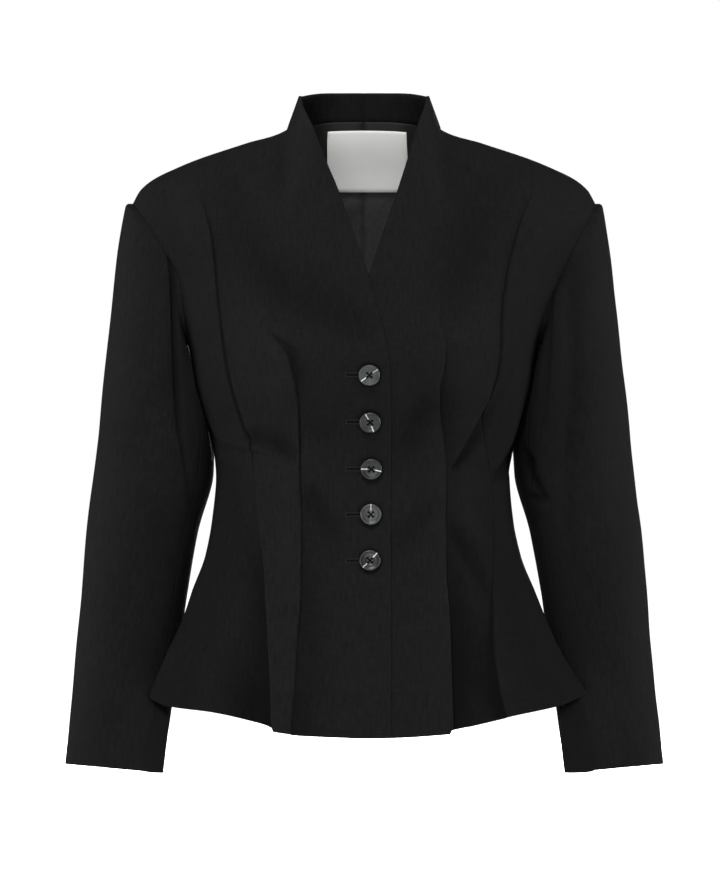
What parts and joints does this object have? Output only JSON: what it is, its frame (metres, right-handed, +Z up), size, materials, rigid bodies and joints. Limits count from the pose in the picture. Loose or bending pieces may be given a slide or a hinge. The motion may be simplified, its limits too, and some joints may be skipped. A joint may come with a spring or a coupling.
{
  "type": "blazer",
  "caption": "Fitted peplum blazer with a V neck, a stand collar grown on to the fronts, set-in sleeves and a buttoned front, filled out as worn.",
  "frame": {"origin": "the middle of the neck base, level with the inner ends of the shoulder seams, where a neck and shoulders hold the garment", "axes": "+Z up along the body, -Y to the garment's front, +X to the wearer's left"},
  "size_m": [0.606, 0.2993, 0.6917],
  "materials": {
    "suiting": "matte fine-weave black suiting",
    "satin": "soft satin lining",
    "label_satin": "plain light grey satin",
    "horn": "streaked horn look, semi-gloss"
  },
  "bodies": {
    "root": {"front_right": "suiting", "front_left": "suiting", "back_right": "suiting", "back_left": "suiting", "back_collar_right": "suiting", "back_collar_left": "suiting", "collar_facing_right": "suiting", "collar_facing_left": "suiting", "upper_sleeve_right": "suiting", "upper_sleeve_left": "suiting", "under_sleeve_right": "suiting", "under_sleeve_left": "suiting", "lining_right": "satin", "lining_left": "satin", "label": "label_satin", "button_1": "horn", "button_2": "horn", "button_3": "horn", "button_4": "horn", "button_5": "horn"}
  },
  "joints": []
}
